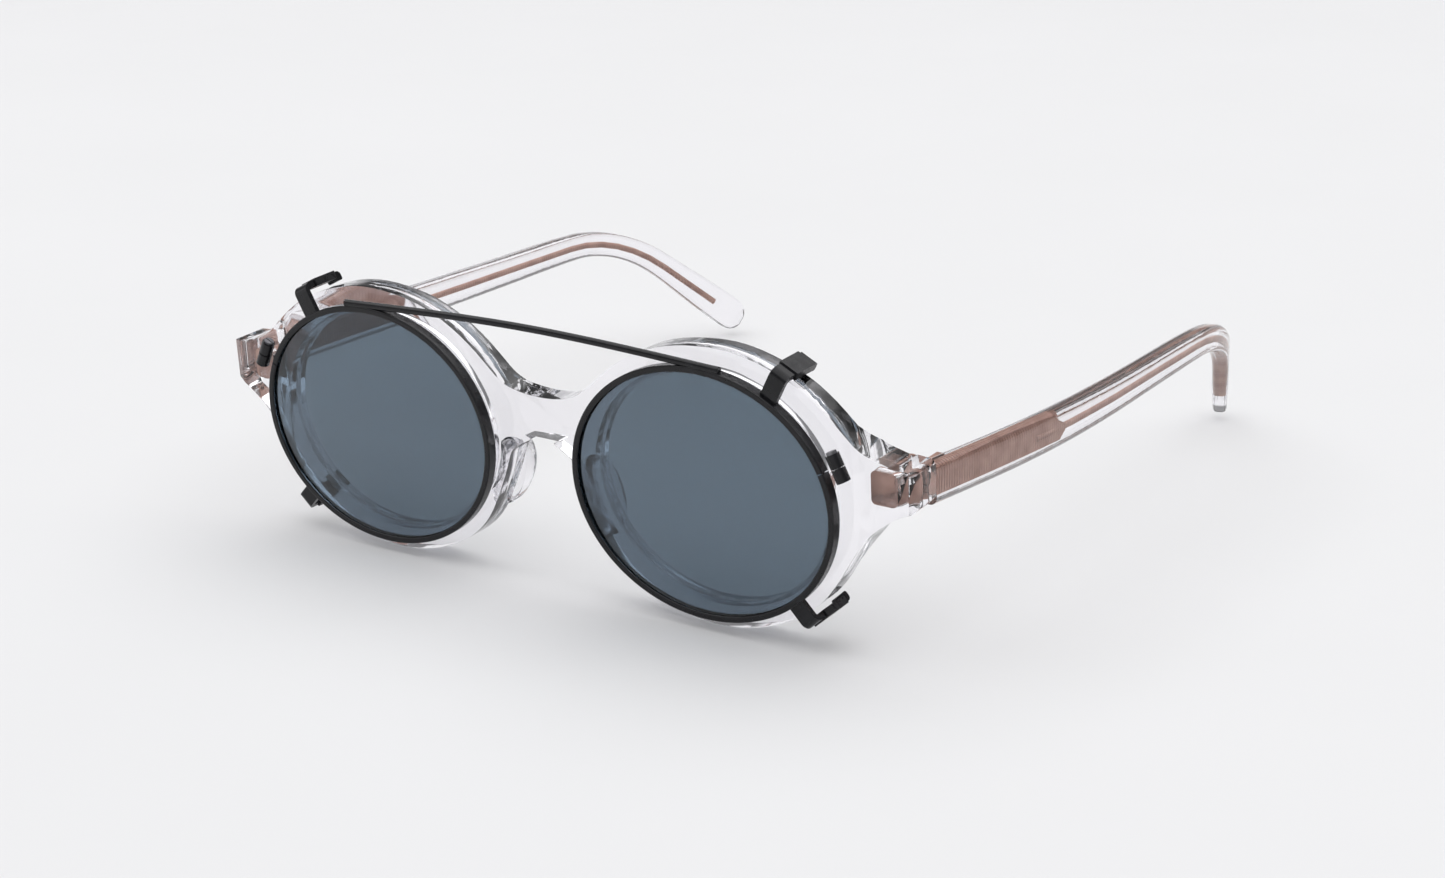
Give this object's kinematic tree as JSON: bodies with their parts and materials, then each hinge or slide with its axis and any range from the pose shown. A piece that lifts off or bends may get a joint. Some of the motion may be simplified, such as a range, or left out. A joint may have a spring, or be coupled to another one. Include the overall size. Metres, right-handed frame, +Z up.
{
  "type": "spectacles with clip-on sunglasses",
  "caption": "Clear acetate spectacles with folding wire-core temples and a black metal clip-on sunglass front that hooks over the rims and pulls off.",
  "frame": {"origin": "middle of the bounding box on the table it stands on", "axes": "+X to the wearer's left, +Y from the lenses towards the temple tips, +Z up"},
  "size_m": [0.1464, 0.1523, 0.0476],
  "materials": {
    "clear_acetate": "polished clear",
    "clear_lens": "polished",
    "copper": "satin rose copper",
    "screw": "polished",
    "black_metal": "gloss black",
    "sun_lens": "polished dark blue-grey tint",
    "sleeve": "smooth",
    "dark_screw": "blackened"
  },
  "bodies": {
    "front": {"front_frame": "clear_acetate", "nose_pad_left": "clear_acetate", "nose_pad_right": "clear_acetate", "clear_lens_left": "clear_lens", "clear_lens_right": "clear_lens", "front_hinge_left": "copper", "front_hinge_right": "copper", "hinge_screw_left": "screw", "hinge_screw_right": "screw"},
    "temple_left": {"temple_left": "clear_acetate", "temple_core_left": "copper", "temple_hinge_left": "copper"},
    "temple_right": {"temple_right": "clear_acetate", "temple_core_right": "copper", "temple_hinge_right": "copper"},
    "clip": {"clip_rim_left": "black_metal", "clip_rim_right": "black_metal", "clip_hook_upper_left": "black_metal", "clip_hook_upper_right": "black_metal", "clip_hook_lower_left": "black_metal", "clip_hook_lower_right": "black_metal", "clip_lock_upper_left": "black_metal", "clip_lock_upper_right": "black_metal", "clip_lock_lower_left": "black_metal", "clip_lock_lower_right": "black_metal", "clip_brow_bar": "black_metal", "sun_lens_left": "sun_lens", "sun_lens_right": "sun_lens", "hook_sleeve_upper_left": "sleeve", "hook_sleeve_upper_right": "sleeve", "hook_sleeve_lower_left": "sleeve", "hook_sleeve_lower_right": "sleeve", "clip_lock_screw_left": "dark_screw", "clip_lock_screw_right": "dark_screw"}
  },
  "joints": [
    {"name": "left_temple_fold", "type": "hinge", "parent": "front", "child": "temple_left", "pos_m": [0.0649, -0.06267, 0.02887], "axis": [0, -0.0537, 0.9986], "range_deg": [0, 89]},
    {"name": "right_temple_fold", "type": "hinge", "parent": "front", "child": "temple_right", "pos_m": [-0.0649, -0.06267, 0.02887], "axis": [0, 0.0537, -0.9986], "range_deg": [0, 76]},
    {"name": "clip_pull_off", "type": "slide", "parent": "front", "child": "clip", "axis": [0, -0.9986, -0.0537], "range_m": [0, 0.02]}
  ]
}
